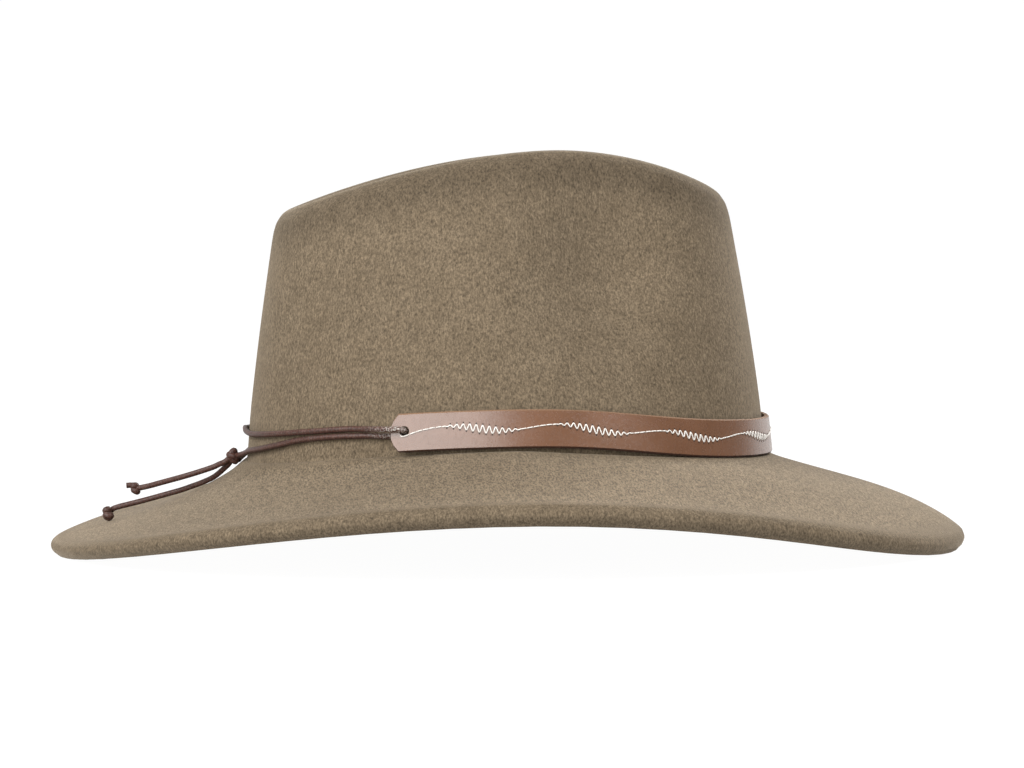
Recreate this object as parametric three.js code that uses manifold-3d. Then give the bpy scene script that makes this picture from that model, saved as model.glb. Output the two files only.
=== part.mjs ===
// A felt hat with a creased, side-pinched crown and a wide brim whose edge is turned under.
// A leather band lies round the front of the crown, and a waxed cord laces its ends behind.
// Millimetres, +Z up, +X to the front of the hat, origin under the middle of the brim.

import * as THREE from 'three';
import { mergeVertices } from 'three/addons/utils/BufferGeometryUtils.js';
import Module from 'manifold-3d';

const wasm = await Module();
wasm.setup();

const DEG = Math.PI / 180;

// Felt sheet and how finely it is faceted.
const FELT = { thickness: 2.7, spokes: 72 };

// Plan ovals: half sizes, and the power that makes an oval fuller than an ellipse.
const RIM = { halfLength: 182.2, halfWidth: 160, power: 2 };
const BASE = { front: 102.4, back: 104.1, halfWidth: 87, power: 2.12 };
const SHOULDER = { front: 89, back: 93.3, halfWidth: 61, power: 2.3, taper: 0.13 };

// The rim rests on short flat arcs at the front and back and rises towards both sides.
const SWEEP = { lift: 21.9, restAngle: 5 * DEG, front: 2.9, back: 2.05, twist: 0.51, twistPower: 1.15 };

// Brim profile along three directions, from the crown out to the edge. foot is its height at
// the crown and rim the height of the edge. slope and endSlope are its fall at either end,
// and hold and endHold are the shares of the width over which the curve keeps to them.
// A larger spread keeps the row nearer the middle of its end, and footSpread does so for foot.
const BRIM = {
  front: {
    foot: 37.1, slope: 0.358, hold: 0.349, endSlope: 0.657, endHold: 0.309, rim: 8.2, spread: 2.1,
    footSpread: 1,
  },
  side: { foot: 43.9, slope: 0.168, hold: 0.332, endSlope: 0.149, endHold: 0.339, rim: 8.1 },
  back: {
    foot: 35.8, slope: 0.758, hold: 0.199, endSlope: 0.16, endHold: 0.388, rim: 6.2, spread: 1.74,
    footSpread: 1.74,
  },
};

// Small hollow where the brim turns up into the crown.
const COVE = { reach: 5.5, height: 1.6 };

// Section of the turned edge, from the top of the brim round to its underside.
// inset is measured from the outermost line, rise is a share of the edge's height.
// Before these rows the edge starts at START.inset, falling a little faster than the brim does.
const START = { inset: 5.8, faster: 0.08 };
const EDGE = [
  { inset: 2.6, rise: 0.95 },
  { inset: 0.7, rise: 0.74 },
  { inset: 0, rise: 0.48 },
  { inset: 0.7, rise: 0.2 },
  { inset: 2.4, rise: 0 },
  { inset: 6.2, rise: 0 },
];

// Inner line of the hem, as a share of the way in from the edge, and its thickness there.
const HEM = { share: 0.173, thickness: 5.6 };

// Rings between the edge and the crown, as shares of the way in from the edge.
const BRIM_RINGS = [0.08, 0.2, 0.36, 0.53, 0.7, 0.86];
const COVE_RINGS = [0, 0.5, 1];

// Height of the crown's ridge along its length.
const RIDGE = { peakX: 15.8, peakZ: 157.6, backPower: 1.744, backRate: 0.00703, frontRate: 0.00351 };
const WALL = { leanFront: 1.28, leanBack: 1.26, rings: [0.16, 0.34, 0.53, 0.72, 0.88] };

// Top of the crown from the shoulder over the ridge into the crease.
// inset is a share of the way to the crease line, drop is measured down from the ridge.
const TOP = [
  { inset: 0, drop: 8 },
  { inset: 0.035, drop: 3.4 },
  { inset: 0.09, drop: 0.8 },
  { inset: 0.16, drop: 0 },
  { inset: 0.25, drop: 2.2 },
  { inset: 0.36, drop: 9 },
  { inset: 0.52, drop: 20 },
  { inset: 0.7, drop: 28 },
  { inset: 0.87, drop: 31.4 },
  { inset: 1, drop: 32 },
];
const CREASE = { halfLength: 46, middleX: -4 };

// Pinch pressed into each side of the crown near the front.
const PINCH = { x: 34, z: 112, depth: 12, reachX: 25, reachZ: 36, clearY: 30 };

// Leather band: its middle line rises from the front to the sides and falls again towards the
// ends, by the mean of these powers of the sine. Its ends stand off for the cord.
const BAND = {
  width: 14.6,
  thickness: 1.7,
  frontZ: 44.6,
  sideRise: 7.5,
  frontPowers: [3, 8],
  backPowers: [2.9],
  gap: 1.32,
  endGap: 3.25,
  endX: -48.2,
  liftLength: 32,
  stations: 46,
  edgeRound: 0.5,
};

// Clipped corners of the band's ends: half width at each distance from the end.
const BAND_END = [
  { along: 0, half: 2.6 },
  { along: 0.9, half: 4.9 },
  { along: 2.8, half: 7.3 },
  { along: 6, half: 7.3 },
  { along: 9.5, half: 7.3 },
  { along: 13, half: 7.3 },
];
const BAND_HOLE = { along: 5, up: 0.6, radius: 1.9, sides: 20 };

// Waxed cord. Its routes are lists of points on its middle line, closer where it turns.
const CORD = { radius: 1.15, sides: 8 };

// Right half of the loop, from the main knot to the middle of the back of the crown.
const LOOP_ROUTE = [
  [-107.7, -2.3, 37.4],
  [-105.7, -8, 38.4],
  [-104.47, -14.12, 39.42],
  [-103.02, -21.75, 40.58],
  [-99.14, -32.69, 41.97],
  [-95.14, -40.75, 43.36],
  [-90.26, -48.03, 44.94],
  [-85.42, -54.16, 46.44],
  [-78.1, -61.32, 47.83],
  [-70.77, -67.08, 48.71],
  [-63.42, -71.84, 49.2],
  [-57.01, -75.41, 49.5],
  [-53, -77.4, 49.4],
  [-48.8, -79.06, 49.73],
  [-46, -80.12, 50.47],
  [-44.7, -80.98, 51.1],
  [-44.6, -82.24, 51.64],
  [-45.2, -83.8, 51.97],
  [-46.1, -84.74, 52.24],
  [-47.8, -84.78, 52.4],
  [-50.8, -83.82, 52.37],
  [-53.9, -81.76, 52.33],
  [-57.3, -78.1, 52.2],
  [-60.9, -74.2, 52],
  [-64.71, -70.92, 51.9],
  [-70.58, -66.8, 51.41],
  [-77.99, -61.09, 50.53],
  [-85.35, -53.81, 49.64],
  [-92.72, -43.99, 48.55],
  [-97.89, -34.76, 47.77],
  [-102.41, -22.1, 47.16],
  [-104.54, -10.09, 47.55],
];
const LOOP_MIDDLE = [-104.81, 0, 48.15];

// The other half mirrors it, but comes in lower at the main knot.
const LOOP_FAR_END = [
  [-85.48, 54.21, 45.61],
  [-91.46, 46.48, 43.43],
  [-96.86, 37.79, 41.41],
  [-100.92, 28.91, 39.3],
  [-104.01, 20.5, 37.4],
  [-106.01, 13, 36.2],
  [-107.2, 6.5, 35.6],
  [-107.9, 2.7, 35.3],
];

// The two free ends, from the main knot out over the brim.
const LONG_ROUTE = [
  [-111.4, 2.2, 33.9],
  [-113.9, 4.8, 31.28],
  [-117.58, 8.57, 28.03],
  [-122.02, 11.5, 25.73],
  [-127.28, 13.6, 23.68],
  [-130.93, 14.6, 22.38],
  [-134.89, 15.2, 21.25],
  [-139.35, 15.8, 20.01],
  [-143.82, 16.4, 18.76],
  [-148.24, 17, 17.61],
  [-152.43, 17.5, 16.57],
  [-155.83, 17.9, 15.71],
  [-158.3, 18.5, 14.8],
];
const SHORT_ROUTE = [
  [-113.3, 0.7, 34.5],
  [-115.3, 2, 33.6],
  [-117.5, 3, 32.5],
  [-121.5, 5, 31],
  [-125.9, 7, 29.5],
  [-130.3, 9, 28.1],
  [-134.8, 12, 26.7],
  [-139.3, 15, 25.3],
  [-143.8, 18, 23.9],
  [-147.4, 20.2, 23],
];

// Knots, each a core with turns of cord round it. turn is about X, Y and Z, in degrees, and
// bend is the radius of the turn's middle line.
const KNOTS = {
  main_knot: {
    centre: [-109.9, 0, 37],
    core: 2,
    turns: [
      { turn: [62, 0, 10], bend: 1.9, shift: [0, -0.7, 0.3] },
      { turn: [112, 12, -8], bend: 1.7, shift: [-0.3, 0.7, -0.6] },
    ],
  },
  end_knot_long: {
    centre: [-160, 16.3, 13.1],
    core: 1.5,
    turns: [
      { turn: [15, 60, 0], bend: 1.05, shift: [0, 0, 0.8] },
      { turn: [20, -35, 20], bend: 1.2, shift: [-0.1, 0, -0.8] },
    ],
  },
  end_knot_short: {
    centre: [-149.6, 21.3, 23],
    core: 1.5,
    turns: [
      { turn: [10, 70, 25], bend: 1.2, shift: [0.4, 0, 0.1] },
      { turn: [60, -20, 20], bend: 1.1, shift: [-0.9, 0.3, 0.4] },
    ],
  },
};
const KNOT_SIDES = { round: 8, along: 14, core: 10 };

const mix = (a, b, t) => a + (b - a) * t;
const signedPower = (value, power) => Math.sign(value) * Math.abs(value) ** power;

function oval(angle, halfLength, halfWidth, power) {
  return new THREE.Vector2(
    halfLength * signedPower(Math.cos(angle), 2 / power),
    halfWidth * signedPower(Math.sin(angle), 2 / power),
  );
}

// Share of the way from a rest arc to the middle of a side.
function sideways(angle) {
  const start = Math.sin(SWEEP.restAngle);
  return Math.max(0, (Math.abs(Math.sin(angle)) - start) / (1 - start));
}

function rimBottom(angle) {
  const share = sideways(angle);
  const twist = 2 * SWEEP.twist * Math.sign(Math.sin(angle)) * Math.cos(angle);
  const power = mix(SWEEP.back, SWEEP.front, (1 + Math.cos(angle)) / 2);
  return Math.max(0, SWEEP.lift * share ** power + twist * share ** SWEEP.twistPower);
}

// A brim value blended from its front, side and back rows.
function brimValue(angle, name) {
  const end = Math.cos(angle) > 0 ? BRIM.front : BRIM.back;
  const spread = name === 'foot' ? end.footSpread : end.spread;
  const lengthways = Math.abs(Math.cos(angle)) ** spread;
  return mix(BRIM.side[name], end[name], lengthways);
}

function ridgeHeight(x) {
  const away = Math.abs(x - RIDGE.peakX);
  if (x > RIDGE.peakX) {
    return RIDGE.peakZ - RIDGE.frontRate * away ** 2;
  }
  return RIDGE.peakZ - RIDGE.backRate * away ** RIDGE.backPower;
}

function baseOutline(angle) {
  const halfLength = Math.cos(angle) > 0 ? BASE.front : BASE.back;
  return oval(angle, halfLength, BASE.halfWidth, BASE.power);
}

function shoulderOutline(angle) {
  const halfLength = Math.cos(angle) > 0 ? SHOULDER.front : SHOULDER.back;
  const point = oval(angle, halfLength, SHOULDER.halfWidth, SHOULDER.power);
  point.y *= 1 - SHOULDER.taper * Math.cos(angle);
  return point;
}

function pinched(point) {
  const nearX = ((point.x - PINCH.x) / PINCH.reachX) ** 2;
  const nearZ = ((point.z - PINCH.z) / PINCH.reachZ) ** 2;
  const offCentre = Math.min(1, Math.abs(point.y) / PINCH.clearY);
  const depth = PINCH.depth * Math.exp(-nearX - nearZ) * offCentre;
  point.y -= Math.sign(point.y) * depth;
  return point;
}

// A number along a Bezier curve of any number of control values.
function curve(values, t) {
  if (values.length === 1) {
    return values[0];
  }
  return curve(values.slice(1).map((value, i) => mix(values[i], value, t)), t);
}

// Places a point on the line from the crown's base to the rim, by distance from the base.
function onSpoke(angle, distance, z) {
  const base = baseOutline(angle);
  const rim = oval(angle, RIM.halfLength, RIM.halfWidth, RIM.power);
  const point = base.clone().addScaledVector(rim.clone().sub(base).normalize(), distance);
  return new THREE.Vector3(point.x, point.y, z);
}

function spokeLength(angle) {
  return baseOutline(angle).distanceTo(oval(angle, RIM.halfLength, RIM.halfWidth, RIM.power));
}

function edgeZ(angle, row) {
  return rimBottom(angle) + brimValue(angle, 'rim') * row.rise;
}

function edgePoint(angle, row) {
  return onSpoke(angle, spokeLength(angle) - row.inset, edgeZ(angle, row));
}

// Top of the brim, with share 0 at the turned edge and 1 beside the cove.
function brimPoint(angle, share) {
  const startZ = brimValue(angle, 'foot') - brimValue(angle, 'slope') * COVE.reach;
  const end = spokeLength(angle) - START.inset;
  const startSlope = brimValue(angle, 'endSlope') + START.faster;
  const endZ = edgeZ(angle, EDGE[0]) + startSlope * (START.inset - EDGE[0].inset);
  const hold = brimValue(angle, 'hold') * (end - COVE.reach);
  const endHold = brimValue(angle, 'endHold') * (end - COVE.reach);
  const distances = [COVE.reach, COVE.reach + hold, end - endHold, end];
  const heights = [
    startZ,
    startZ - brimValue(angle, 'slope') * hold,
    endZ + brimValue(angle, 'endSlope') * endHold,
    endZ,
  ];
  return onSpoke(angle, curve(distances, 1 - share), curve(heights, 1 - share));
}

function covePoint(angle, share) {
  const foot = brimValue(angle, 'foot');
  const outerZ = foot - brimValue(angle, 'slope') * COVE.reach;
  return onSpoke(
    angle,
    curve([COVE.reach, 0, 0], share),
    curve([outerZ, foot, foot + COVE.height], share),
  );
}

function topPoint(angle, row) {
  const shoulder = shoulderOutline(angle);
  const crease = new THREE.Vector2(CREASE.middleX + CREASE.halfLength * Math.cos(angle), 0);
  const plan = shoulder.lerp(crease, row.inset);
  return pinched(new THREE.Vector3(plan.x, plan.y, ridgeHeight(plan.x) - row.drop));
}

function wallPoint(angle, share) {
  const lean = mix(WALL.leanBack, WALL.leanFront, (1 + Math.cos(angle)) / 2);
  const plan = baseOutline(angle).lerp(shoulderOutline(angle), share ** lean);
  const bottom = brimValue(angle, 'foot') + COVE.height;
  const top = ridgeHeight(shoulderOutline(angle).x) - TOP[0].drop;
  return pinched(new THREE.Vector3(plan.x, plan.y, mix(bottom, top, share)));
}

// One ring of points, a point on every spoke.
function ring(place) {
  return Array.from({ length: FELT.spokes }, (_, i) => place((i / FELT.spokes) * 2 * Math.PI));
}

// Moves a ring to the far side of the felt, along the normals of the sheet.
function offsetRing(rings, index, distance) {
  const before = rings[Math.max(0, index - 1)];
  const after = rings[Math.min(rings.length - 1, index + 1)];
  return rings[index].map((point, i, line) => {
    const next = line[(i + 1) % line.length];
    const last = line[(i + line.length - 1) % line.length];
    const across = after[i].clone().sub(before[i]);
    const normal = next.clone().sub(last).cross(across);
    if (index === rings.length - 1) {
      normal.set(normal.x, 0, Math.abs(normal.z));
    }
    return point.clone().addScaledVector(normal.normalize(), -distance);
  });
}

// A closed solid from rings of points; the first and last rings may close on a line.
function solidFromRings(rings, capped) {
  const count = rings[0].length;
  const positions = rings.flat().flatMap((point) => [point.x, point.y, point.z]);
  const index = [];
  for (let r = 0; r + 1 < rings.length; r += 1) {
    for (let i = 0; i < count; i += 1) {
      const a = r * count + i;
      const b = r * count + ((i + 1) % count);
      index.push(a, b + count, b, a, a + count, b + count);
    }
  }
  if (capped) {
    const last = (rings.length - 1) * count;
    for (let i = 1; i + 1 < count; i += 1) {
      index.push(0, i, i + 1, last, last + i + 1, last + i);
    }
  }
  const geometry = new THREE.BufferGeometry();
  geometry.setAttribute('position', new THREE.Float32BufferAttribute(positions, 3));
  geometry.setIndex(index);
  return geometry;
}

function feltBody() {
  const outer = [
    ...BRIM_RINGS.map((share) => ring((angle) => brimPoint(angle, share))),
    ...COVE_RINGS.map((share) => ring((angle) => covePoint(angle, share))),
    ...WALL.rings.map((share) => ring((angle) => wallPoint(angle, share))),
    ...TOP.map((row) => ring((angle) => topPoint(angle, row))),
  ];
  const start = ring((angle) => brimPoint(angle, 0));
  const edge = [start, ...EDGE.map((row) => ring((angle) => edgePoint(angle, row)))];
  const inner = outer.map((_, index) => offsetRing(outer, index, FELT.thickness));
  const sheet = [
    start,
    ring((angle) => brimPoint(angle, HEM.share)),
    outer[2],
  ];
  const hem = offsetRing(sheet, 1, HEM.thickness);
  const hemTop = offsetRing(sheet, 1, FELT.thickness);
  const rings = [...outer].reverse().concat(edge, [hem, hemTop], inner.slice(2));
  return solidFromRings(rings, false);
}

function wallAt(angle, z) {
  const bottom = brimValue(angle, 'foot') + COVE.height;
  const top = ridgeHeight(shoulderOutline(angle).x) - TOP[0].drop;
  return wallPoint(angle, Math.max(0, (z - bottom) / (top - bottom)));
}

// Frame on the crown where the band lies: a point, the way up the wall and the way out.
function bandFrame(angle) {
  const powers = Math.cos(angle) > 0 ? BAND.frontPowers : BAND.backPowers;
  const rises = powers.map((power) => BAND.sideRise * Math.abs(Math.sin(angle)) ** power);
  const z = BAND.frontZ + rises.reduce((sum, rise) => sum + rise, 0) / rises.length;
  const origin = wallAt(angle, z);
  const up = wallAt(angle, z + BAND.width / 2).sub(origin).normalize();
  const along = wallAt(angle + DEG, z).sub(wallAt(angle - DEG, z)).normalize();
  return { origin, up, along, out: along.clone().cross(up).normalize() };
}

// Angle at which the band ends, and the angle a distance in millimetres before it.
function bandEndAngle() {
  let angle = Math.PI / 2;
  while (bandFrame(angle).origin.x > BAND.endX) {
    angle += DEG / 20;
  }
  return angle;
}

function bandAngles(end) {
  const perMm = DEG / bandFrame(end + DEG / 2).origin.distanceTo(bandFrame(end - DEG / 2).origin);
  const tips = BAND_END.map((row) => end - row.along * perMm);
  const last = tips[tips.length - 1];
  const middle = Array.from({ length: BAND.stations }, (_, i) => {
    const share = (i + 1) / (BAND.stations + 1);
    return mix(-last, last, share);
  });
  return { perMm, angles: [...tips.map((angle) => -angle), ...middle, ...tips.reverse()] };
}

function bandGap(fromEnd) {
  const lift = Math.max(0, 1 - fromEnd / BAND.liftLength);
  return mix(BAND.gap, BAND.endGap, lift * lift * (3 - 2 * lift));
}

function leatherBand() {
  const end = bandEndAngle();
  const { perMm, angles } = bandAngles(end);
  const rings = angles.map((angle) => {
    const fromEnd = (end - Math.abs(angle)) / perMm;
    const row = BAND_END.findIndex((item) => item.along > fromEnd + 0.01);
    const half = row < 0 ? BAND.width / 2 : BAND_END[row - 1].half;
    const { origin, up, out } = bandFrame(angle);
    const near = bandGap(fromEnd);
    const far = near + BAND.thickness;
    const corner = BAND.edgeRound;
    const section = [
      [near, corner - half],
      [near + corner, -half],
      [far - corner, -half],
      [far, corner - half],
      [far, half - corner],
      [far - corner, half],
      [near, half],
    ];
    return section.map(([outwards, upwards]) =>
      origin.clone().addScaledVector(out, outwards).addScaledVector(up, upwards),
    );
  });
  const strap = toManifold(solidFromRings(rings, true));
  const punches = [1, -1].map((side) => {
    const { origin, up, out } = bandFrame(side * (end - BAND_HOLE.along * perMm));
    const middle = bandGap(BAND_HOLE.along) + BAND.thickness / 2;
    const { radius, sides } = BAND_HOLE;
    const punch = new THREE.CylinderGeometry(radius, radius, 3 * BAND.thickness, sides);
    const turn = new THREE.Quaternion().setFromUnitVectors(new THREE.Vector3(0, 1, 0), out);
    punch.applyQuaternion(turn);
    const centre = origin.addScaledVector(out, middle).addScaledVector(up, BAND_HOLE.up);
    punch.translate(centre.x, centre.y, centre.z);
    return toManifold(punch);
  });
  return fromManifold(punches.reduce((solid, punch) => solid.subtract(punch), strap));
}

// A cord's middle line, with one step at each point of its route.
class CordLine extends THREE.CatmullRomCurve3 {
  getPointAt(share, target) {
    return this.getPoint(share, target);
  }

  getTangentAt(share, target) {
    return this.getTangent(share, target);
  }
}

function cordTube(route) {
  const corners = Array.from({ length: CORD.sides }, (_, i) => {
    const angle = (i / CORD.sides) * 2 * Math.PI;
    return new THREE.Vector2(CORD.radius * Math.cos(angle), CORD.radius * Math.sin(angle));
  });
  const line = new CordLine(route.map((point) => new THREE.Vector3(...point)));
  return new THREE.ExtrudeGeometry(new THREE.Shape(corners), {
    steps: route.length - 1,
    extrudePath: line,
    bevelEnabled: false,
  });
}

function loopRoute() {
  const same = LOOP_ROUTE.slice(LOOP_FAR_END.length);
  const mirrored = same.map(([x, y, z]) => [x, -y, z]).reverse();
  return [...LOOP_ROUTE, LOOP_MIDDLE, ...mirrored, ...LOOP_FAR_END];
}

function knot({ centre, core, turns }) {
  const pieces = turns.map(({ turn, bend, shift }) => {
    const coil = new THREE.TorusGeometry(bend, CORD.radius, KNOT_SIDES.round, KNOT_SIDES.along);
    const angles = turn.map((value) => value * DEG);
    coil.applyQuaternion(new THREE.Quaternion().setFromEuler(new THREE.Euler(...angles)));
    coil.translate(...shift);
    return toManifold(coil);
  });
  const middle = toManifold(new THREE.SphereGeometry(core, KNOT_SIDES.core, KNOT_SIDES.round));
  return fromManifold(pieces.reduce((solid, piece) => solid.add(piece), middle).translate(centre));
}

function toManifold(geometry) {
  const plain = geometry.clone();
  plain.deleteAttribute('normal');
  plain.deleteAttribute('uv');
  const merged = mergeVertices(plain, 1e-4);
  return new wasm.Manifold(
    new wasm.Mesh({
      numProp: 3,
      vertProperties: new Float32Array(merged.attributes.position.array),
      triVerts: new Uint32Array(merged.index.array),
    }),
  );
}

function fromManifold(solid) {
  const mesh = solid.getMesh();
  const geometry = new THREE.BufferGeometry();
  geometry.setAttribute('position', new THREE.BufferAttribute(mesh.vertProperties, 3));
  geometry.setIndex(new THREE.BufferAttribute(mesh.triVerts, 1));
  return geometry;
}

const FELT_LOOK = new THREE.MeshStandardMaterial({ color: 0x8c7d6a, roughness: 0.95, metalness: 0 });

const LEATHER_LOOK = new THREE.MeshStandardMaterial({ color: 0x8e6852, roughness: 0.5, metalness: 0 });

const CORD_LOOK = new THREE.MeshStandardMaterial({ color: 0x3b2a20, roughness: 0.6, metalness: 0 });

function named(name, geometry, material) {
  const mesh = new THREE.Mesh(geometry, material);
  mesh.name = name;
  return mesh;
}

const hat = new THREE.Group();
hat.add(named('felt_body', feltBody(), FELT_LOOK));
hat.add(named('leather_band', leatherBand(), LEATHER_LOOK));
hat.add(named('cord_loop', cordTube(loopRoute()), CORD_LOOK));
hat.add(named('tail_long', cordTube(LONG_ROUTE), CORD_LOOK));
hat.add(named('tail_short', cordTube(SHORT_ROUTE), CORD_LOOK));
for (const [name, spec] of Object.entries(KNOTS)) {
  hat.add(named(name, knot(spec), CORD_LOOK));
}

export default hat;
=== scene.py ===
# A brown felt hat with a creased, pinched crown, a stitched leather band and a knotted waxed cord.
# Metres, +Z up, +X to the front of the hat, origin under the middle of the brim.
import math

import bmesh
import bpy
from mathutils import Matrix, Vector
from mathutils.bvhtree import BVHTree


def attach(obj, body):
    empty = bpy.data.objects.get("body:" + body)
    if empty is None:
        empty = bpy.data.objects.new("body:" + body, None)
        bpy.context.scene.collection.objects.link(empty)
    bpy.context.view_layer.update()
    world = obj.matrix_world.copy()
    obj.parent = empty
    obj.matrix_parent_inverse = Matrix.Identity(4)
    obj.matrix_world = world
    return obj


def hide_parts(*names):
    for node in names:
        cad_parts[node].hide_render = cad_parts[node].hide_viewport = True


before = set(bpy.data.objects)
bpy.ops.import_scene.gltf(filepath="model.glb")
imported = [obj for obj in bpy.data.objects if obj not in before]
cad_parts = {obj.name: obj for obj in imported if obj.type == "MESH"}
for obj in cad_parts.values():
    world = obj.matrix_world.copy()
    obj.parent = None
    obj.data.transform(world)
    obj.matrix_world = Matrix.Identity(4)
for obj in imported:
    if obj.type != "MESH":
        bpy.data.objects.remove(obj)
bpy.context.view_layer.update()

# Camera: the photograph's view, from the hat's right side and a little above it.
CAMERA = {
    "aim": Vector((0, 0, 0.08)),
    "distance": 1.5,
    "turn": math.radians(4.0),
    "tilt": math.asin(0.065 / 1.5),
    "roll": math.radians(-0.3),
    "focal_length": 131.84,
    "sensor_width": 36,
    "shift": (4.5 / 1024, -38.3 / 1024),
    "sees_to": 20,
}

# Waxed cord, a braid with a bloom of wax, most of it near the band's holes.
CORD_RADIUS = 0.00115
CORD_SIDES = 16
CORD_STEP = 0.00025
BRAID = {"strands": 4, "pitch": 0.0030, "relief": 0.07}
WAX = {"all_over": 0.06, "near_hole": 0.8, "reach": 0.02, "fade": 1.5}

# The cord's routes are lists of points on its middle line, from inside the main knot.
LOOP_SIDES = 12
LOOP_START = (-0.1091, -0.001, 0.0371)
LOOP_ROUTE = [
    (-0.1077, -0.0023, 0.0374),
    (-0.1057, -0.008, 0.0384),
    (-0.10447, -0.01412, 0.03942),
    (-0.10302, -0.02175, 0.04058),
    (-0.09914, -0.03269, 0.04197),
    (-0.09514, -0.04075, 0.04336),
    (-0.09026, -0.04803, 0.04494),
    (-0.08542, -0.05416, 0.04644),
    (-0.0781, -0.06132, 0.04783),
    (-0.07077, -0.06708, 0.04871),
    (-0.06342, -0.07184, 0.0492),
    (-0.05701, -0.07541, 0.0495),
    (-0.053, -0.0774, 0.0494),
    (-0.0488, -0.07906, 0.04973),
    (-0.046, -0.08012, 0.05047),
    (-0.0447, -0.08098, 0.0511),
    (-0.0446, -0.08224, 0.05164),
    (-0.0452, -0.0838, 0.05197),
    (-0.0461, -0.08474, 0.05224),
    (-0.0478, -0.08478, 0.0524),
    (-0.0508, -0.08382, 0.05237),
    (-0.0539, -0.08176, 0.05233),
    (-0.0573, -0.0781, 0.0522),
    (-0.0609, -0.0742, 0.052),
    (-0.06471, -0.07092, 0.0519),
    (-0.07058, -0.0668, 0.05141),
    (-0.07799, -0.06109, 0.05053),
    (-0.08535, -0.05381, 0.04964),
    (-0.09272, -0.04399, 0.04855),
    (-0.09789, -0.03476, 0.04777),
    (-0.10241, -0.0221, 0.04716),
    (-0.10454, -0.01009, 0.04755),
]
LOOP_MIDDLE = (-0.10481, 0, 0.04815)

# The far half of the loop mirrors the near half, but ends with its own points.
MIRRORED_FROM = 8
HOLE_POINT = 17
LOOP_FAR_END = [
    (-0.08548, 0.05421, 0.04561),
    (-0.09146, 0.04648, 0.04343),
    (-0.09686, 0.03779, 0.04141),
    (-0.10092, 0.02891, 0.0393),
    (-0.10401, 0.0205, 0.0374),
    (-0.10601, 0.013, 0.0362),
    (-0.1072, 0.0065, 0.0356),
    (-0.1079, 0.0027, 0.0353),
    (-0.1092, 0.001, 0.0366),
]
LONG_ROUTE = [
    (-0.1103, 0.0004, 0.0361),
    (-0.1114, 0.0022, 0.0339),
    (-0.1139, 0.0048, 0.03128),
    (-0.11758, 0.00857, 0.02803),
    (-0.12202, 0.0115, 0.02573),
    (-0.12728, 0.0136, 0.02368),
    (-0.13093, 0.0146, 0.02238),
    (-0.13489, 0.0152, 0.02125),
    (-0.13935, 0.0158, 0.02001),
    (-0.14382, 0.0164, 0.01876),
    (-0.14824, 0.017, 0.01761),
    (-0.15243, 0.0175, 0.01657),
    (-0.15583, 0.0179, 0.01571),
    (-0.1583, 0.0185, 0.0148),
    (-0.1589, 0.0177, 0.0143),
]
SHORT_ROUTE = [
    (-0.1112, -0.0001, 0.0362),
    (-0.1133, 0.0007, 0.0345),
    (-0.1153, 0.002, 0.0336),
    (-0.1175, 0.003, 0.0325),
    (-0.1215, 0.005, 0.031),
    (-0.1259, 0.007, 0.0295),
    (-0.1303, 0.009, 0.0281),
    (-0.1348, 0.012, 0.0267),
    (-0.1393, 0.015, 0.0253),
    (-0.1438, 0.018, 0.0239),
    (-0.1474, 0.0202, 0.023),
    (-0.1488, 0.021, 0.0227),
]

# Knots: turns of cord laid over each other, each a closed line of points from the knot's middle.
KNOTS = {
    "knot_main": {
        "node": "main_knot",
        "centre": (-0.1099, 0, 0.037),
        "turns": [
            [
                (0.0004, -0.0007, 0.002),
                (-0.001, -0.0009, 0.0002),
                (0.0009, -0.0005, -0.0021),
                (0.0007, 0.0008, -0.0002),
            ],
            [
                (-0.0013, -0.0009, 0.0004),
                (0.0001, -0.0017, 0),
                (0.0013, -0.0009, -0.001),
                (0.0008, 0.0009, -0.0005),
                (-0.0009, 0.0008, 0.0004),
            ],
            [(0.0006, 0, 0.0012), (-0.0002, -0.0004, 0), (0.0006, 0, -0.0012), (0.0009, 0.0005, 0)],
        ],
        "cut_ends": [],
    },
    "knot_long_end": {
        "node": "end_knot_long",
        "centre": (-0.16, 0.0163, 0.0131),
        "turns": [
            [
                (-0.0012, -0.0001, 0.0012),
                (-0.0006, -0.0007, 0.0016),
                (0, 0.0001, 0.0015),
                (-0.0006, 0.0005, 0.0011),
            ],
            [
                (-0.0011, -0.0003, -0.0006),
                (-0.0001, -0.001, -0.0009),
                (0.0009, -0.0002, -0.0009),
                (0, 0.0008, -0.0005),
            ],
            [
                (-0.0008, -0.0005, -0.0001),
                (0.0005, -0.0004, -0.0005),
                (0.0003, -0.0003, -0.0016),
                (-0.0008, -0.0002, -0.0013),
            ],
        ],
        "cut_ends": [],
    },
    "knot_short_end": {
        "node": "end_knot_short",
        "centre": (-0.1496, 0.0213, 0.023),
        "turns": [
            [
                (-0.0006, 0, 0.0005),
                (0.0001, -0.0006, 0.0009),
                (0.0006, 0.0001, 0.0006),
                (0, 0.0005, 0.0002),
            ],
            [
                (-0.0003, -0.0001, -0.0009),
                (0.0003, -0.0008, -0.0012),
                (0.001, 0.0001, -0.0016),
                (0.0003, 0.0007, -0.001),
            ],
        ],
        "cut_ends": [[(-0.0004, 0, 0.001), (-0.0018, 0.0001, 0.001), (-0.0033, 0.0002, 0.0009)]],
    },
}
KNOT_RADIUS = 0.0014
TURN_LEAST_POINTS = 10

# Leather band: its middle line rises from the front to the sides and falls towards the ends,
# by the mean of these powers of the sine of the angle. Facets that meet at less than this angle
# are shaded as one, and faces whose normals point at least this far up or down are cut edges.
BAND = {"front_z": 0.0446, "side_rise": 0.0075, "front_powers": (3, 8), "back_powers": (2.9,)}
CROWN_BASE = {"front": 0.1024, "back": 0.1041, "half_width": 0.087, "power": 2.12}
BAND_FACETS = math.radians(22)
CUT_EDGE = {"facing_up": 0.3, "facing_down": -0.25}

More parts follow.
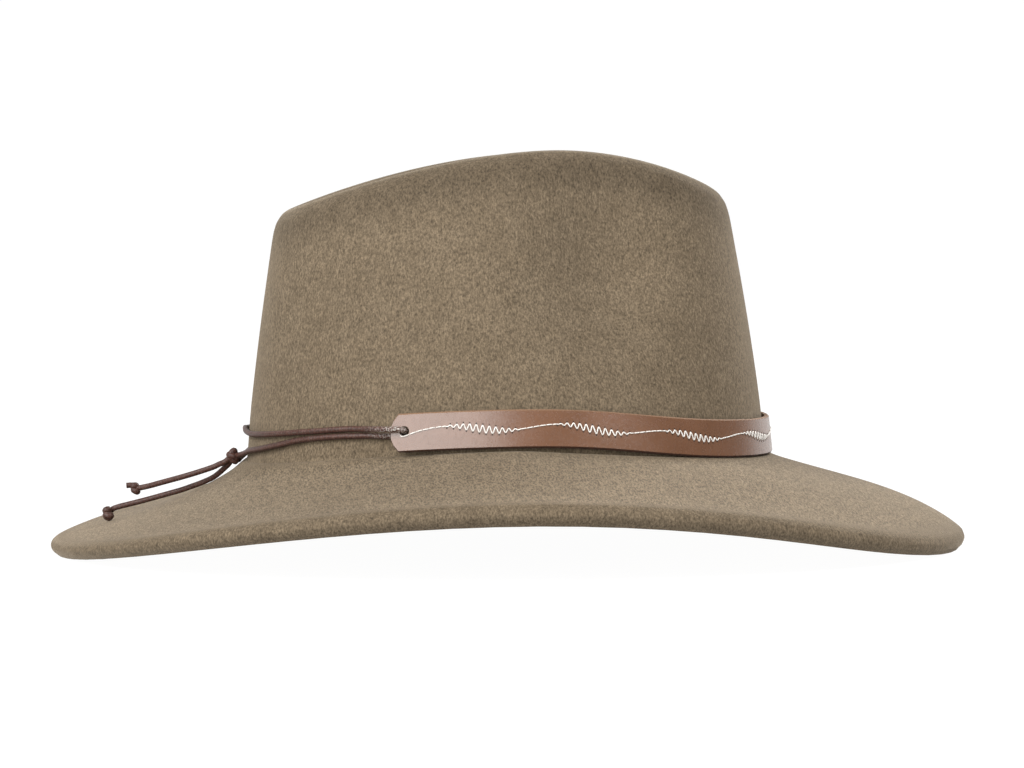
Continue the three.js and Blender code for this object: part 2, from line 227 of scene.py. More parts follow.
# Holes of the band: direction from the hat's middle, and a height above the middle line that
# is clear of them.
HOLE = {"angle": math.atan2(0.0829, -0.0449), "clear_of": 0.0045}

# The band is found by looking inwards from outside it: from how far out, and to what depth.
LOOK_IN = {"from": 0.15, "depth": 0.075, "usual": 0.056, "steps": 1200}

# How close the points of a CAD mesh are merged, and how unlike triangles may be to make a quad.
MERGE = {"distance": 0.00001, "face_angle": math.radians(50), "shape_angle": math.radians(70)}

# Felt: how it is smoothed, how wide the change from crown to brim is, how far down the edge's
# underside faces where its shade is painted, the turned edge as shares of the brim's oval, and
# the roll along the ridge, where shade is painted too.
FELT_SMOOTHING = {"levels": 2, "passes": 5, "slack": 0.00015}
BRIM_STARTS_OVER = 0.006
UNDERSIDE_SHADE = {"starts": -0.5, "full": 0.7}
RIM = {"half_length": 0.1822, "half_width": 0.16, "starts": 0.955, "full": 0.975}
RIDGE = {"peak_x": 0.0158, "peak_z": 0.1576, "front_rate": 3.51, "back_rate": 1.199, "back_power": 1.744}
ROLL_SHADE = {"middle": 0.006, "half_width": 0.015}

# The nap is brushed up the crown and across the brim: how fine its grain is along X, Y and Z.
CROWN_NAP = (1, 1, 0.55)
BRIM_NAP = (1, 0.2, 1)

# Stitching: a straight stitch that climbs, then a burst of zigzag that falls, over and over.
# Lengths are along the band from the middle of its hole.
STITCH = {
    "first_burst": 0.030,
    "period": 0.0427,
    "burst_half": 0.0148,
    "burst_fade": 1.2,
    "climb_starts": 0.0168,
    "line_starts": 0.0016,
    "zigzag_pitch": 0.00245,
    "zigzag_reach": 0.00135,
    "wave_reach": 0.00115,
    "wave_lift": 0.001,
    "start_drop": 0.0011,
    "drop_length": 0.008,
    "thread_radius": 0.00025,
    "thread_sides": 6,
    "samples_per_pitch": 20,
    "round_hole": [(-0.0011, 0.0003), (-0.001, -0.0004), (-0.0003, -0.0008), (0.0006, -0.0007)],
}

# How high the thread's middle lies and how deep it dips at a needle hole, in thread radii.
# The zigzag dips at its tips, and a straighter stitch dives once in each pitch.
THREAD_LIE = {
    "height": 0.9,
    "zigzag_from": 0.05,
    "tip_dip": 0.5,
    "tip_power": 6,
    "dive": 2.4,
    "dive_power": 12,
}

# Painted shadows of the needle holes: dark discs just past the zigzag's tips.
NEEDLE_SHADOW = {
    "radius": 0.0003,
    "past_tip": 0.0005,
    "top": 0.00004,
    "bottom": -0.0002,
    "sides": 8,
    "least_burst": 0.02,
    "tip_swing": 0.995,
    "least_steps_apart": 3,
}

# White floor that sweeps up behind the hat.
FLOOR = {"size": (12, 9, 1), "wall_height": 6, "bend": 2.0, "bend_steps": 24}


def select_only(piece):
    bpy.ops.object.select_all(action="DESELECT")
    piece.select_set(True)
    bpy.context.view_layer.objects.active = piece


def mesh_object(name, vertices, faces):
    mesh = bpy.data.meshes.new(name)
    mesh.from_pydata(vertices, [], faces)
    mesh.update()
    piece = bpy.data.objects.new(name, mesh)
    bpy.context.scene.collection.objects.link(piece)
    return piece


def smooth(piece):
    for face in piece.data.polygons:
        face.use_smooth = True


def search_tree(mesh):
    """A tree that finds the nearest place on a mesh as it is now."""
    copied = bmesh.new()
    copied.from_mesh(mesh)
    found = BVHTree.FromBMesh(copied)
    copied.free()
    return found


def store_shares(mesh, named):
    """Stores lists of numbers on a mesh, one number at each vertex."""
    for name, shares in named.items():
        mesh.attributes.new(name, "FLOAT", "POINT").data.foreach_set("value", shares)


def copy_of_node(name, node):
    """A merged copy of a CAD node's mesh, as a new object."""
    piece = bpy.data.objects.new(name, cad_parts[node].data.copy())
    piece.data.name = name
    piece.data.materials.clear()
    bpy.context.scene.collection.objects.link(piece)
    select_only(piece)
    bpy.ops.object.mode_set(mode="EDIT")
    bpy.ops.mesh.select_all(action="SELECT")
    bpy.ops.mesh.remove_doubles(threshold=MERGE["distance"])
    bpy.ops.mesh.tris_convert_to_quads(
        face_threshold=MERGE["face_angle"],
        shape_threshold=MERGE["shape_angle"],
    )
    bpy.ops.object.mode_set(mode="OBJECT")
    return piece


# Camera

def make_camera():
    turn = CAMERA["turn"]
    tilt = CAMERA["tilt"]
    away = Vector((-math.sin(turn) * math.cos(tilt), -math.cos(turn) * math.cos(tilt), math.sin(tilt)))
    bpy.ops.object.camera_add(location=CAMERA["aim"] + away * CAMERA["distance"])
    camera = bpy.context.object
    camera.name = "photo_camera"
    look = (-away).to_track_quat("-Z", "Y").to_matrix()
    camera.rotation_euler = (look @ Matrix.Rotation(CAMERA["roll"], 3, "Z")).to_euler()
    camera.data.lens = CAMERA["focal_length"]
    camera.data.sensor_width = CAMERA["sensor_width"]
    camera.data.shift_x, camera.data.shift_y = CAMERA["shift"]
    camera.data.clip_end = CAMERA["sees_to"]
    bpy.context.scene.camera = camera


# Node material helpers

def new_material(name):
    material = bpy.data.materials.new(name)
    material.use_nodes = True
    tree = material.node_tree
    tree.nodes.clear()
    output = tree.nodes.new("ShaderNodeOutputMaterial")
    shader = tree.nodes.new("ShaderNodeBsdfPrincipled")
    tree.links.new(shader.outputs["BSDF"], output.inputs["Surface"])
    return material, tree, shader


def add_node(tree, kind, values=None, **settings):
    made = tree.nodes.new(kind)
    for key, value in settings.items():
        setattr(made, key, value)
    for key, value in (values or {}).items():
        if isinstance(value, bpy.types.NodeSocket):
            tree.links.new(value, made.inputs[key])
        else:
            made.inputs[key].default_value = value
    return made


def place_on_object(tree):
    return add_node(tree, "ShaderNodeTexCoord").outputs["Object"]


def stored_share(tree, name):
    """A number from 0 to 1 that is stored at every vertex of a piece."""
    return add_node(tree, "ShaderNodeAttribute", attribute_name=name).outputs["Fac"]


def noise(tree, where, scale, detail, roughness=0.5):
    values = {"Vector": where, "Scale": scale, "Detail": detail, "Roughness": roughness}
    return add_node(tree, "ShaderNodeTexNoise", values).outputs["Fac"]


def remap(tree, value, low, high, new_low, new_high):
    values = {
        "Value": value,
        "From Min": low,
        "From Max": high,
        "To Min": new_low,
        "To Max": new_high,
    }
    return add_node(tree, "ShaderNodeMapRange", values).outputs["Result"]


def scaled_place(tree, where, scales):
    return add_node(tree, "ShaderNodeVectorMath", {0: where, 1: scales}, operation="MULTIPLY").outputs[0]


def mix_value(tree, share, first, second):
    return add_node(tree, "ShaderNodeMix", {0: share, 2: first, 3: second}).outputs[0]


def calculate(tree, operation, first, second):
    return add_node(tree, "ShaderNodeMath", {0: first, 1: second}, operation=operation).outputs[0]


def mix_colour(tree, share, first, second):
    made = add_node(tree, "ShaderNodeMix", data_type="RGBA", clamp_factor=True)
    for key, value in ((0, share), (6, first), (7, second)):
        if isinstance(value, bpy.types.NodeSocket):
            tree.links.new(value, made.inputs[key])
        else:
            made.inputs[key].default_value = value
    return made.outputs[2]


def srgb(red, green, blue):
    """A linear colour from the 0 to 255 values that a picture shows."""
    parts = []
    for value in (red, green, blue):
        share = value / 255
        parts.append(share / 12.92 if share <= 0.04045 else ((share + 0.055) / 1.055) ** 2.4)
    return (*parts, 1.0)


def bump(tree, shader, height, strength, distance):
    values = {"Height": height, "Strength": strength, "Distance": distance}
    made = add_node(tree, "ShaderNodeBump", values)
    tree.links.new(made.outputs["Normal"], shader.inputs["Normal"])


# Materials

def felt_material():
    material, tree, shader = new_material("brushed_felt")
    where = place_on_object(tree)
    brim = stored_share(tree, "brim")
    rim = stored_share(tree, "rim")
    underside_shade = stored_share(tree, "underside_shade")
    roll = stored_share(tree, "roll")
    up_crown = scaled_place(tree, where, CROWN_NAP)
    over_brim = scaled_place(tree, where, BRIM_NAP)
    flat = calculate(tree, "SUBTRACT", brim, rim)
    brim_grain = remap(tree, noise(tree, over_brim, 1650, 2, 0.7), 0.37, 0.63, 0.3, 0.7)
    grain = mix_value(tree, flat, noise(tree, up_crown, 1500, 2, 0.7), brim_grain)
    tufts = mix_value(tree, flat, noise(tree, up_crown, 600, 3), noise(tree, over_brim, 520, 3))
    streaks = noise(tree, where, 900, 3, 0.65)
    mottle = noise(tree, where, 110, 3, 0.6)
    clouds = noise(tree, where, 20, 2, 0.5)
    # Along the turned edge: streaks of wear, and painted shade that makes the edge darker on the whole.
    rim_wear_and_shade = calculate(tree, "MULTIPLY", rim, remap(tree, streaks, 0.3, 0.7, -0.13, 0.01))
    # Painted light: the flat of the brim is made lighter.
    painted_brim_light = calculate(tree, "MULTIPLY", flat, 0.05)
    shade = remap(tree, grain, 0.3, 0.7, 0.5, 1.5)
    factors = [
        remap(tree, tufts, 0.3, 0.7, 0.86, 1.14),
        remap(tree, mottle, 0.3, 0.7, 0.96, 1.04),
        remap(tree, clouds, 0.3, 0.7, 0.96, 1.04),
        calculate(tree, "ADD", 1.0, rim_wear_and_shade),
        calculate(tree, "ADD", 1.0, painted_brim_light),
        # Painted shade on the turned edge's underside and along the crown's roll.
        remap(tree, underside_shade, 0, 1, 1, 0.86),
        remap(tree, roll, 0, 1, 1, 0.73),
    ]
    for factor in factors:
        shade = calculate(tree, "MULTIPLY", shade, factor)
    tint = mix_colour(tree, remap(tree, mottle, 0.35, 0.65, 0, 1), srgb(94, 82, 66), srgb(97, 85, 69))
    scaled = add_node(tree, "ShaderNodeVectorMath", {0: tint, "Scale": shade}, operation="SCALE")
    tree.links.new(scaled.outputs[0], shader.inputs["Base Color"])
    shader.inputs["Roughness"].default_value = 0.95
    shader.inputs["Specular IOR Level"].default_value = 0.15
    shader.inputs["Sheen Weight"].default_value = 0.2
    shader.inputs["Sheen Roughness"].default_value = 0.4
    shader.inputs["Sheen Tint"].default_value = srgb(246, 228, 202)
    height = calculate(tree, "ADD", calculate(tree, "MULTIPLY", tufts, 0.6), grain)
    bump(tree, shader, height, 0.45, 0.0004)
    return material


def leather_material():
    material, tree, shader = new_material("red_brown_leather")
    where = place_on_object(tree)
    pores = noise(tree, where, 1800, 3, 0.6)
    grain = noise(tree, where, 500, 4, 0.55)
    wear = noise(tree, where, 60, 3, 0.6)
    tint = mix_colour(tree, remap(tree, wear, 0.3, 0.7, 0, 1), srgb(98, 66, 45), srgb(108, 75, 54))
    tint = mix_colour(tree, remap(tree, grain, 0.4, 0.8, 0, 0.3), tint, srgb(84, 55, 38))
    tree.links.new(tint, shader.inputs["Base Color"])
    rough = remap(tree, grain, 0.3, 0.7, 0.23, 0.3)
    tree.links.new(rough, shader.inputs["Roughness"])
    shader.inputs["Specular IOR Level"].default_value = 0.9
    height = calculate(tree, "ADD", calculate(tree, "MULTIPLY", grain, 0.7), pores)
    bump(tree, shader, height, 0.25, 0.00012)
    return material


def cut_edge_material(name, light, dark):
    material, tree, shader = new_material(name)
    where = place_on_object(tree)
    fibres = noise(tree, where, 1400, 4, 0.7)
    tint = mix_colour(tree, remap(tree, fibres, 0.3, 0.7, 0, 1), dark, light)
    tree.links.new(tint, shader.inputs["Base Color"])
    shader.inputs["Roughness"].default_value = 0.8
    bump(tree, shader, fibres, 0.5, 0.0002)
    return material


def cord_material():
    material, tree, shader = new_material("waxed_braid")
    where = place_on_object(tree)
    braid_height_for_shade = stored_share(tree, "braid_height_for_shade")
    wax = stored_share(tree, "wax")
    specks = noise(tree, where, 1600, 3, 0.7)
    patches = noise(tree, where, 420, 2, 0.6)
    # Painted shade: the braid's grooves are darker than its strands.
    tint = mix_colour(tree, remap(tree, braid_height_for_shade, 0.2, 0.9, 0, 1), srgb(26, 13, 9), srgb(74, 44, 35))
    tint = mix_colour(tree, remap(tree, patches, 0.45, 0.7, 0, 0.4), tint, srgb(86, 56, 46))
    bloom = calculate(tree, "MULTIPLY", wax, remap(tree, specks, 0.5, 0.6, 0, 1))
    tint = mix_colour(tree, bloom, tint, srgb(200, 196, 188))
    tree.links.new(tint, shader.inputs["Base Color"])
    shader.inputs["Roughness"].default_value = 0.5
    shader.inputs["Specular IOR Level"].default_value = 0.3
    bump(tree, shader, specks, 0.3, 0.0001)
    return material


def thread_material():
    material, tree, shader = new_material("white_thread")
    where = place_on_object(tree)
    twist = noise(tree, where, 2600, 2, 0.6)
    tint = mix_colour(tree, remap(tree, twist, 0.35, 0.65, 0, 1), srgb(190, 184, 176), srgb(232, 229, 224))
    tree.links.new(tint, shader.inputs["Base Color"])
    shader.inputs["Roughness"].default_value = 0.7
    shader.inputs["Sheen Weight"].default_value = 0.2
    bump(tree, shader, twist, 0.4, 0.00008)
    return material


def needle_shadow_material():
    material, tree, shader = new_material("needle_hole_shadow")
    where = place_on_object(tree)
    depth = noise(tree, where, 900, 2, 0.5)
    # Painted shadow of a needle hole.
    tint = mix_colour(tree, depth, srgb(26, 15, 11), srgb(48, 28, 20))
    tree.links.new(tint, shader.inputs["Base Color"])
    shader.inputs["Roughness"].default_value = 0.95
    return material


def floor_material():
    material, _, shader = new_material("white_sweep")
    shader.inputs["Base Color"].default_value = (0.08, 0.08, 0.08, 1)
    shader.inputs["Roughness"].default_value = 0.9
    shader.inputs["Specular IOR Level"].default_value = 0.0
    shader.inputs["Emission Color"].default_value = (1, 1, 1, 1)
    shader.inputs["Emission Strength"].default_value = 0.97
    return material


# Cords

def smooth_line(route, step):
    """Points every step along one smooth curve through the route."""
    points = [Vector(point) for point in route]
    first = points[0] * 2 - points[1]
    last = points[-1] * 2 - points[-2]
    padded = [first, *points, last]
    line = [points[0]]
    for before, start, end, after in zip(padded, padded[1:], padded[2:], padded[3:]):
        knots = [0.0]
        for one, two in ((before, start), (start, end), (end, after)):
            knots.append(knots[-1] + max((two - one).length, 1e-9) ** 0.5)
        count = max(1, round((end - start).length / step))
        for i in range(1, count + 1):
            t = knots[1] + (knots[2] - knots[1]) * i / count
            a = blend(before, start, knots[0], knots[1], t)
            b = blend(start, end, knots[1], knots[2], t)
            c = blend(end, after, knots[2], knots[3], t)
            d = blend(a, b, knots[0], knots[2], t)
            e = blend(b, c, knots[1], knots[3], t)
            line.append(blend(d, e, knots[1], knots[2], t))
    return line


def blend(one, two, start, end, t):
    share = (t - start) / (end - start)
    return one * (1 - share) + two * share


def braid_height(around, along):
    """Height of the braid's surface, from 0 in its grooves to 1 on its strands."""
    lean = 2 * math.pi * along / BRAID["pitch"]
    left = math.cos(BRAID["strands"] * around + lean)
    right = math.cos(BRAID["strands"] * around - lean)
    return 0.5 + 0.5 * max(left * right, 0.35 * (left + right), -0.9)


def tube(line, radius, closed=False, sides=CORD_SIDES):
    """Vertices, faces and braid heights of a braided tube along a line of points."""
    count = len(line)
    vertices, heights, faces = [], [], []
    side = Vector((0, 0, 1))
    along = 0.0
    for i, centre in enumerate(line):
        before = line[i - 1] if closed or i > 0 else line[0]
        after = line[(i + 1) % count] if closed or i + 1 < count else line[-1]
        tangent = (after - before).normalized()
        side = (side - tangent * side.dot(tangent)).normalized()
        other = side.cross(tangent)
        if i > 0:
            along += (centre - line[i - 1]).length
        for k in range(sides):
            around = 2 * math.pi * k / sides
            height = braid_height(around, along)
            reach = radius * (1 - BRAID["relief"] * (1 - height))
            vertices.append(centre + (side * math.cos(around) + other * math.sin(around)) * reach)
            heights.append(height)
    last = count if closed else count - 1
    for i in range(last):
        j = (i + 1) % count
        for k in range(sides):
            m = (k + 1) % sides
            faces.append((i * sides + k, j * sides + k, j * sides + m, i * sides + m))
    if not closed:
        faces.append(tuple(range(sides)))
        faces.append(tuple((count - 1) * sides + k for k in reversed(range(sides))))
    return vertices, faces, heights


def cord_object(name, parts, wax_near=()):
    """One object from several tubes, with its braid heights, which paint the grooves' shade, and its wax
    stored for the finish.
    """
    vertices, faces, heights = [], [], []
    for part_vertices, part_faces, part_heights in parts:
        start = len(vertices)
        vertices += part_vertices
        heights += part_heights
        faces += [tuple(start + corner for corner in face) for face in part_faces]
    piece = mesh_object(name, vertices, faces)
    smooth(piece)
    waxes = [wax_share(vertex, wax_near) for vertex in vertices]
    store_shares(piece.data, {"braid_height_for_shade": heights, "wax": waxes})
    piece.data.materials.append(CORD_FINISH)
    outward(piece)
    return piece


def outward(piece):
    select_only(piece)
    bpy.ops.object.mode_set(mode="EDIT")
    bpy.ops.mesh.select_all(action="SELECT")
    bpy.ops.mesh.normals_make_consistent(inside=False)
    bpy.ops.object.mode_set(mode="OBJECT")


def wax_share(vertex, holes):
    nearest = min([(vertex - hole).length for hole in holes], default=WAX["reach"])
    closeness = max(0.0, 1 - nearest / WAX["reach"])
    return WAX["all_over"] + WAX["near_hole"] * closeness ** WAX["fade"]


def end_cord(name, node, route):
    line = smooth_line(route, CORD_STEP)
    piece = cord_object(name, [tube(line, CORD_RADIUS)])
    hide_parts(node)
    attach(piece, "root")


def crown_cord():
    mirrored = [(x, -y, z) for x, y, z in reversed(LOOP_ROUTE[MIRRORED_FROM:])]
    route = [LOOP_START, *LOOP_ROUTE, LOOP_MIDDLE, *mirrored, *LOOP_FAR_END]
    line = smooth_line(route, CORD_STEP)
    near_hole = Vector(LOOP_ROUTE[HOLE_POINT])
    holes = [near_hole, Vector((near_hole.x, -near_hole.y, near_hole.z))]
    piece = cord_object("cord_round_crown", [tube(line, CORD_RADIUS, sides=LOOP_SIDES)], holes)
    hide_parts("cord_loop")
    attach(piece, "root")


def closed_line(points, step):
    """Points every step along one smooth closed curve."""
    around = smooth_line([points[-1], *points, points[0], points[1]], step)
    first = min(range(len(around)), key=lambda i: (around[i] - points[0]).length)
    rest = range(first + TURN_LEAST_POINTS, len(around))
    last = min(rest, key=lambda i: (around[i] - points[0]).length)
    return around[first:last]


def knot_piece(name, facts):
    middle = Vector(facts["centre"])
    parts = []
    for turn in facts["turns"]:
        points = [middle + Vector(point) for point in turn]
        parts.append(tube(closed_line(points, CORD_STEP), KNOT_RADIUS, closed=True))
    for end in facts["cut_ends"]:
        points = [middle + Vector(point) for point in end]
        parts.append(tube(smooth_line(points, CORD_STEP), CORD_RADIUS))
    piece = cord_object(name, parts)
    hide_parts(facts["node"])
    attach(piece, "root")
    return piece


# Felt

def share_between(value, low, high):
    share = min(1.0, max(0.0, (value - low) / (high - low)))
    return share * share * (3 - 2 * share)


def ridge_height(x):
    """Height of the crown's ridge at a place along the hat."""
    away = abs(x - RIDGE["peak_x"])
    if x > RIDGE["peak_x"]:
        return RIDGE["peak_z"] - RIDGE["front_rate"] * away ** 2
    return RIDGE["peak_z"] - RIDGE["back_rate"] * away ** RIDGE["back_power"]


def base_radius(x, y):
    """Distance from the hat's middle to the crown's base, towards a place on the plan."""
    away = max(math.hypot(x, y), 1e-6)
    power = CROWN_BASE["power"]
    half_length = CROWN_BASE["front"] if x > 0 else CROWN_BASE["back"]
    lengthways = abs(x / away / half_length) ** power
    across = abs(y / away / CROWN_BASE["half_width"]) ** power
    return (lengthways + across) ** (-1 / power)


def add_felt_shares(mesh):
    """Stores where the felt is brim and its turned edge, and the painted shade on that edge's underside and
    along the crown's roll.
    """
    brim_shares, rim_shares, underside_shade_shares, painted_roll_shade_shares = [], [], [], []
    for vertex in mesh.vertices:
        x, y, z = vertex.co
        reach = math.hypot(x / RIM["half_length"], y / RIM["half_width"])
        past_base = math.hypot(x, y) - base_radius(x, y)
        brim_shares.append(share_between(past_base, 0, BRIM_STARTS_OVER))
        rim_shares.append(share_between(reach, RIM["starts"], RIM["full"]))
        # Painted shade: the turned edge is made darker where its underside faces down.
        downwards = share_between(-vertex.normal.z, UNDERSIDE_SHADE["starts"], UNDERSIDE_SHADE["full"])
        underside_shade_shares.append(rim_shares[-1] * downwards)
        # Painted shade: the felt is made darker in a band along the roll below the crown's ridge.
        below = ridge_height(x) - z
        painted_roll_shade_shares.append(1 - share_between(abs(below - ROLL_SHADE["middle"]), 0, ROLL_SHADE["half_width"]))
    named = {"brim": brim_shares, "rim": rim_shares, "underside_shade": underside_shade_shares, "roll": painted_roll_shade_shares}
    store_shares(mesh, named)


def refine_through_points(piece):
    """Subdivides a mesh so that its smooth surface passes through its own points.

    What bulges out of the first mesh or below the floor is then drawn back to it.
    """
    wanted = [vertex.co.copy() for vertex in piece.data.vertices]
    shell = search_tree(piece.data)
    finer = piece.modifiers.new("finer", "SUBSURF")
    finer.levels = FELT_SMOOTHING["levels"]
    finer.render_levels = FELT_SMOOTHING["levels"]
    for _ in range(FELT_SMOOTHING["passes"]):
        shown = piece.evaluated_get(bpy.context.evaluated_depsgraph_get()).data
        pulled = [target - shown.vertices[i].co for i, target in enumerate(wanted)]
        for vertex, pull in zip(piece.data.vertices, pulled):
            vertex.co += pull
        piece.data.update()
    select_only(piece)
    bpy.ops.object.modifier_apply(modifier="finer")
    for vertex in piece.data.vertices:
        nearest, normal, _, _ = shell.find_nearest(vertex.co)
        past_slack = (vertex.co - nearest).dot(normal) - FELT_SMOOTHING["slack"]
        if past_slack > 0:
            vertex.co -= normal * past_slack
        vertex.co.z = max(vertex.co.z, 0.0)


def felt_hat():
    piece = copy_of_node("hat_felt", "felt_body")
    refine_through_points(piece)
    smooth(piece)
    add_felt_shares(piece.data)
    piece.data.materials.append(felt_material())
    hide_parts("felt_body")
    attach(piece, "root")


# Leather band and its stitching

def leather_band():
    piece = copy_of_node("hat_band", "leather_band")
    select_only(piece)
    bpy.ops.object.shade_smooth_by_angle(angle=BAND_FACETS)
    even = piece.modifiers.new("even_shading", "WEIGHTED_NORMAL")
    even.keep_sharp = True
    bpy.ops.object.modifier_apply(modifier="even_shading")
    piece.data.materials.append(leather_material())
    tan = cut_edge_material("cut_edge_tan", srgb(128, 98, 74), srgb(100, 72, 50))
    dark = cut_edge_material("cut_edge_dark", srgb(70, 36, 14), srgb(34, 16, 6))
    piece.data.materials.append(tan)
    piece.data.materials.append(dark)
    for face in piece.data.polygons:
        if face.normal.z > CUT_EDGE["facing_up"]:
            face.material_index = 1
        elif face.normal.z < CUT_EDGE["facing_down"]:
            face.material_index = 2
    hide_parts("leather_band")
    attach(piece, "root")
    return piece


def band_middle_height(angle):
    """Height of the band's middle line in the direction of a plan angle."""
    power = CROWN_BASE["power"] / 2
    half_length = CROWN_BASE["front"] if math.cos(angle) > 0 else CROWN_BASE["back"]
    across = (abs(math.sin(angle)) / CROWN_BASE["half_width"]) ** power
    lengthways = (abs(math.cos(angle)) / half_length) ** power
    share = across / math.hypot(across, lengthways)
    powers = BAND["front_powers"] if math.cos(angle) > 0 else BAND["back_powers"]
    rises = [BAND["side_rise"] * share ** power for power in powers]
    return BAND["front_z"] + sum(rises) / len(rises)


class BandSurface:
    """Finds points on the outside of the band by length along it and height above its middle."""

    def __init__(self, band):
        self.tree = search_tree(band.data)
        self.angles = []
        self.lengths = []
        steps = LOOK_IN["steps"]
        before = None
        for i in range(steps + 1):
            angle = -HOLE["angle"] + 2 * HOLE["angle"] * i / steps
            point, _ = self.at_angle(angle, HOLE["clear_of"])
            length = 0.0 if before is None else self.lengths[-1] + (point - before).length
            self.angles.append(angle)
            self.lengths.append(length)
            before = point
        self.length = self.lengths[-1]

    def at_angle(self, angle, up):
        outwards = Vector((math.cos(angle), math.sin(angle), 0))
        start = outwards * LOOK_IN["from"] + Vector((0, 0, band_middle_height(angle) + up))
        point, normal, _, _ = self.tree.ray_cast(start, -outwards, LOOK_IN["depth"])
        if point is None:
            point, normal, _, _ = self.tree.find_nearest(start - outwards * LOOK_IN["usual"])
        return point, normal

    def at(self, along, up):
        last = len(self.lengths) - 1
        high = max(1, next((i for i, length in enumerate(self.lengths) if length > along), last))
        low = high - 1
        span = self.lengths[high] - self.lengths[low]
        share = (along - self.lengths[low]) / span
        angle = self.angles[low] + (self.angles[high] - self.angles[low]) * share
        return self.at_angle(angle, up)


def burst_share(along):
    """Share of the zigzag's full width at a place along the band."""
    nearest = round((along - STITCH["first_burst"]) / STITCH["period"])
    off = along - STITCH["first_burst"] - max(0, nearest) * STITCH["period"]
    return max(0.0, 1 - (off / STITCH["burst_half"]) ** 2) ** STITCH["burst_fade"]


def stitch_middle(along, from_hole):
    wave = math.cos(2 * math.pi * (along - STITCH["climb_starts"]) / STITCH["period"])
    drop = STITCH["start_drop"] * max(0.0, 1 - from_hole / STITCH["drop_length"]) ** 2
    return STITCH["wave_lift"] + STITCH["wave_reach"] * wave - drop


def thread_height(swing, phase, burst):
    """Height of the thread's middle above the leather."""
    if burst > THREAD_LIE["zigzag_from"]:
        dip = THREAD_LIE["tip_dip"] * abs(swing) ** THREAD_LIE["tip_power"]
    else:
        dip = THREAD_LIE["dive"] * math.cos(phase / 2) ** THREAD_LIE["dive_power"]
    return STITCH["thread_radius"] * (THREAD_LIE["height"] - dip)


def thread_beside_hole(surface, places):
    """Points of the thread where it turns into a hole at an end of the band."""
    line = []
    for along, up in places:
        point, normal = surface.at(along, up)
        line.append(point + normal * STITCH["thread_radius"] * THREAD_LIE["height"])
    return line


def stitch_line(surface):
    """Points on the thread's middle line, and the tips of its zigzag."""
    step = STITCH["zigzag_pitch"] / STITCH["samples_per_pitch"]
    count = round((surface.length - 2 * STITCH["line_starts"]) / step)
    line = thread_beside_hole(surface, STITCH["round_hole"])
    tips = []
    for i in range(count + 1):
        along = STITCH["line_starts"] + i * step
        burst = burst_share(along)
        phase = 2 * math.pi * along / STITCH["zigzag_pitch"]
        swing = math.sin(phase)
        middle = stitch_middle(along, min(along, surface.length - along))
        point, normal = surface.at(along, middle + STITCH["zigzag_reach"] * burst * swing)
        line.append(point + normal * thread_height(swing, phase, burst))
        apart = along - tips[-1]["along"] if tips else surface.length
        if abs(swing) > NEEDLE_SHADOW["tip_swing"] and apart > step * NEEDLE_SHADOW["least_steps_apart"]:
            side = 1 if swing > 0 else -1
            reach = STITCH["zigzag_reach"] * burst + NEEDLE_SHADOW["past_tip"]
            tips.append({"along": along, "up": middle + reach * side, "burst": burst})
    other_end = [(surface.length - along, up) for along, up in reversed(STITCH["round_hole"])]
    return line + thread_beside_hole(surface, other_end), tips


def stitching(surface):
    line, tips = stitch_line(surface)
    vertices, faces, _ = tube(line, STITCH["thread_radius"], sides=STITCH["thread_sides"])
    thread = mesh_object("band_thread", vertices, faces)
    smooth(thread)
    outward(thread)
    thread.data.materials.append(thread_material())
    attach(thread, "root")
    needle_hole_shadows(surface, tips)


def needle_hole_shadows(surface, tips):
    vertices, faces = [], []
    sides = NEEDLE_SHADOW["sides"]
    for tip in tips:
        if tip["burst"] < NEEDLE_SHADOW["least_burst"]:
            continue
        point, normal = surface.at(tip["along"], tip["up"])
        across = normal.cross(Vector((0, 0, 1))).normalized()
        upwards = across.cross(normal)
        start = len(vertices)
        for height in (NEEDLE_SHADOW["top"], NEEDLE_SHADOW["bottom"]):
            for k in range(sides):
                angle = 2 * math.pi * k / sides
                arm = (across * math.cos(angle) + upwards * math.sin(angle)) * NEEDLE_SHADOW["radius"]
                vertices.append(point + arm + normal * height)
        faces.append(tuple(start + k for k in range(sides)))
        faces.append(tuple(start + sides + k for k in reversed(range(sides))))
        for k in range(sides):
            m = (k + 1) % sides
            faces.append((start + k, start + sides + k, start + sides + m, start + m))
    shadows = mesh_object("band_needle_hole_shadows", vertices, faces)
    outward(shadows)
    shadows.data.materials.append(needle_shadow_material())
    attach(shadows, "root")


# Floor and lights

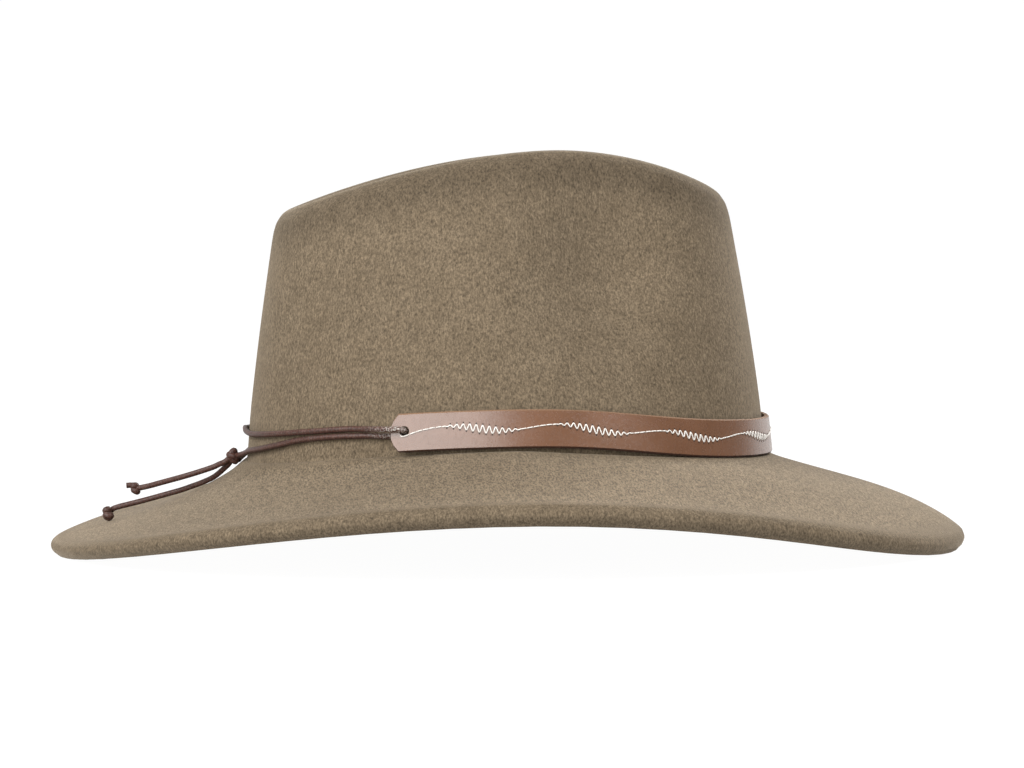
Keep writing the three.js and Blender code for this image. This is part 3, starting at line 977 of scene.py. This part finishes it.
def make_floor():
    bpy.ops.object.select_all(action="DESELECT")
    bpy.ops.mesh.primitive_plane_add(size=1, location=(0, 0, 0))
    floor = bpy.context.object
    floor.name = "white_sweep"
    floor.scale = FLOOR["size"]
    bpy.ops.object.transform_apply(location=False, rotation=False, scale=True)
    bpy.ops.object.mode_set(mode="EDIT")
    bpy.ops.mesh.select_all(action="DESELECT")
    bpy.ops.object.mode_set(mode="OBJECT")
    for edge in floor.data.edges:
        ends = [floor.data.vertices[index].co for index in edge.vertices]
        edge.select = all(end.y > 0 for end in ends)
    bpy.ops.object.mode_set(mode="EDIT")
    bpy.ops.mesh.select_mode(type="EDGE")
    bpy.ops.mesh.extrude_region_move(TRANSFORM_OT_translate={"value": (0, 0, FLOOR["wall_height"])})
    bpy.ops.object.mode_set(mode="OBJECT")
    bend = floor.modifiers.new("bend", "BEVEL")
    bend.width = FLOOR["bend"]
    bend.segments = FLOOR["bend_steps"]
    bpy.ops.object.modifier_apply(modifier="bend")
    smooth(floor)
    floor.data.materials.append(floor_material())


# Each light: its turn from the camera's side to the hat's front, its rise in degrees, its
# distance and size in metres, and its power in watts.
AIR_LIGHT = 0.1
LIGHTS = {
    "left_softbox": {"turn": -65, "rise": 35, "distance": 2.0, "size": 1.0, "power": 34},
    "front_softbox": {"turn": -27, "rise": 18, "distance": 2.0, "size": 1.75, "power": 44},
    "right_softbox": {"turn": 45, "rise": 45, "distance": 2.0, "size": 0.8, "power": 31},
    "right_low_fill": {"turn": 125, "rise": 8, "distance": 2.0, "size": 1.4, "power": 1.6},
    "back_softbox": {"turn": 135, "rise": 35, "distance": 2.0, "size": 0.8, "power": 30},
}


def make_lights():
    for name, facts in LIGHTS.items():
        turn = math.radians(facts["turn"])
        rise = math.radians(facts["rise"])
        towards = Vector((math.sin(turn) * math.cos(rise), -math.cos(turn) * math.cos(rise), math.sin(rise)))
        place = towards * facts["distance"]
        aim = (CAMERA["aim"] - place).to_track_quat("-Z", "Y").to_euler()
        bpy.ops.object.light_add(type="AREA", location=place, rotation=aim)
        light = bpy.context.object
        light.name = name
        light.data.size = facts["size"]
        light.data.energy = facts["power"]
    world = bpy.data.worlds.new("studio_air")
    world.use_nodes = True
    background = world.node_tree.nodes["Background"]
    background.inputs["Color"].default_value = (1, 1, 1, 1)
    background.inputs["Strength"].default_value = AIR_LIGHT
    bpy.context.scene.world = world
    bpy.context.scene.view_settings.view_transform = "Standard"


make_camera()
CORD_FINISH = cord_material()
knots = {name: knot_piece(name, facts) for name, facts in KNOTS.items()}
end_cord("cord_long_end", "tail_long", LONG_ROUTE)
end_cord("cord_short_end", "tail_short", SHORT_ROUTE)
crown_cord()
felt_hat()
band = leather_band()
stitching(BandSurface(band))
make_floor()
make_lights()
